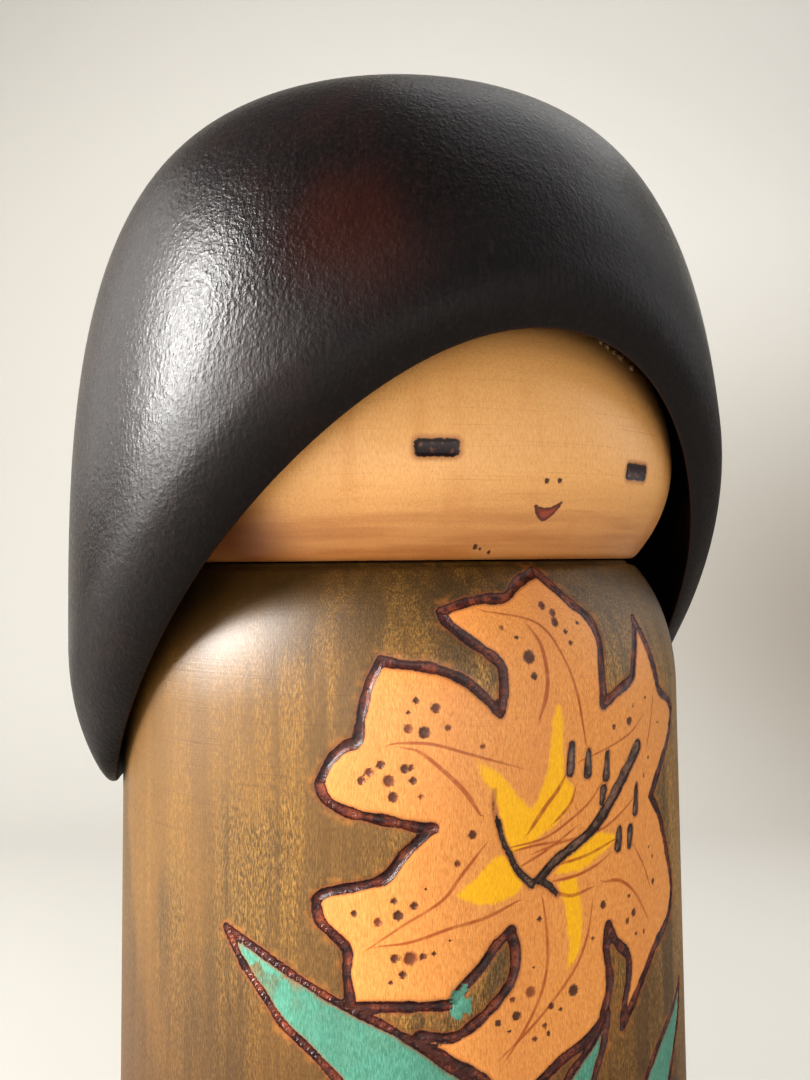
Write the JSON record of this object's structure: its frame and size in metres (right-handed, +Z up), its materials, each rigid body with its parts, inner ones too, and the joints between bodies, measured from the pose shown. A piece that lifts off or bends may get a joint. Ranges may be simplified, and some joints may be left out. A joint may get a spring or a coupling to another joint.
{
  "type": "kokeshi doll",
  "caption": "Turned wooden kokeshi doll with a flower on its body; the face and its hollow hair cap turn as one head on a dowel.",
  "frame": {"origin": "centre of the body's base, on the table", "axes": "+Z up the doll's axis, -Y the way the face looks, +X to the doll's left"},
  "size_m": [0.107, 0.1041, 0.2183],
  "materials": {
    "stained_wood": "olive-brown stain under satin wax, with a burnt-in and painted flower",
    "dowel_wood": "bare turned wood",
    "face_wood": "fine-grained turned wood under clear satin wax",
    "hair_lacquer": "near-black brown stain and satin lacquer on turned wood",
    "dried_glue": "hardened clear amber glue"
  },
  "bodies": {
    "base": {"body": "stained_wood"},
    "head": {"neck_dowel": "dowel_wood", "face_ball": "face_wood", "hair_cap": "hair_lacquer", "glue_beads": "dried_glue"}
  },
  "joints": [
    {"name": "head_turn", "type": "hinge", "parent": "base", "child": "head", "pos_m": [0, 0, 0.145], "axis": [0, 0, 1], "continuous": true}
  ]
}
